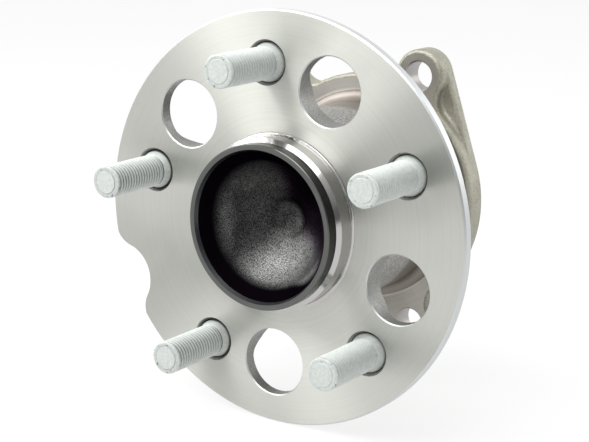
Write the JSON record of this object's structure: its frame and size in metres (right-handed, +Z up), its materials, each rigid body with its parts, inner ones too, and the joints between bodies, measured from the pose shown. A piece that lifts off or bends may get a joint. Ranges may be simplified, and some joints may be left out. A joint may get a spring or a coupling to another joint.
{
  "type": "wheel hub",
  "caption": "Rear wheel hub and bearing unit: spoked flange with wheel studs and pilots, turning on two ball rows in an outer ring with bolted ears and a speed sensor.",
  "frame": {"origin": "centre of the wheel-mounting face on the wheel's axis", "axes": "Y along the wheel's axis with -Y outboard, where the studs point; +Z up; +X along the wide gap between two ears"},
  "size_m": [0.152, 0.1347, 0.152],
  "materials": {
    "turned_steel": "fine turned, oiled",
    "stud_coating": "pale zinc flake coating, matt",
    "forged_steel": "forged and shot blasted, machined faces",
    "bearing_steel": "ground and polished",
    "pressed_steel": "zinc plated sheet",
    "nut_steel": "phosphated",
    "seal_rubber": "black nitrile rubber",
    "encoder_rubber": "ferrite filled rubber",
    "cage_plastic": "glass filled polyamide",
    "sensor_plastic": "black moulded polyamide",
    "terminal_tin": "tin plated"
  },
  "bodies": {
    "outer_ring": {"outer_ring": "forged_steel", "seal_case": "pressed_steel", "seal_lips": "seal_rubber", "rear_cap": "pressed_steel", "cap_seal": "seal_rubber", "sensor_body": "sensor_plastic", "sensor_terminals": "terminal_tin"},
    "hub": {"hub_flange": "turned_steel", "inner_ring": "bearing_steel", "spindle_nut": "nut_steel", "seal_slinger": "pressed_steel", "encoder_carrier": "pressed_steel", "encoder_magnet": "encoder_rubber", "wheel_stud_1": "stud_coating", "wheel_stud_2": "stud_coating", "wheel_stud_3": "stud_coating", "wheel_stud_4": "stud_coating", "wheel_stud_5": "stud_coating"},
    "outboard_row": {"outboard_cage": "cage_plastic", "outboard_ball_1": "bearing_steel", "outboard_ball_2": "bearing_steel", "outboard_ball_3": "bearing_steel", "outboard_ball_4": "bearing_steel", "outboard_ball_5": "bearing_steel", "outboard_ball_6": "bearing_steel", "outboard_ball_7": "bearing_steel", "outboard_ball_8": "bearing_steel", "outboard_ball_9": "bearing_steel", "outboard_ball_10": "bearing_steel", "outboard_ball_11": "bearing_steel", "outboard_ball_12": "bearing_steel"},
    "inboard_row": {"inboard_cage": "cage_plastic", "inboard_ball_1": "bearing_steel", "inboard_ball_2": "bearing_steel", "inboard_ball_3": "bearing_steel", "inboard_ball_4": "bearing_steel", "inboard_ball_5": "bearing_steel", "inboard_ball_6": "bearing_steel", "inboard_ball_7": "bearing_steel", "inboard_ball_8": "bearing_steel", "inboard_ball_9": "bearing_steel", "inboard_ball_10": "bearing_steel", "inboard_ball_11": "bearing_steel", "inboard_ball_12": "bearing_steel"}
  },
  "joints": [
    {"name": "hub_spin", "type": "hinge", "parent": "outer_ring", "child": "hub", "pos_m": [0, 0, 0], "axis": [0, 1, 0], "continuous": true},
    {"name": "outboard_row_spin", "type": "hinge", "parent": "outer_ring", "child": "outboard_row", "pos_m": [0, 0.0305, 0], "axis": [0, 1, 0], "continuous": true},
    {"name": "inboard_row_spin", "type": "hinge", "parent": "outer_ring", "child": "inboard_row", "pos_m": [0, 0.062, 0], "axis": [0, 1, 0], "continuous": true}
  ],
  "couplings": [
    {"joint": "outboard_row_spin", "follows": "hub_spin", "ratio": 0.4123},
    {"joint": "inboard_row_spin", "follows": "hub_spin", "ratio": 0.4123}
  ]
}
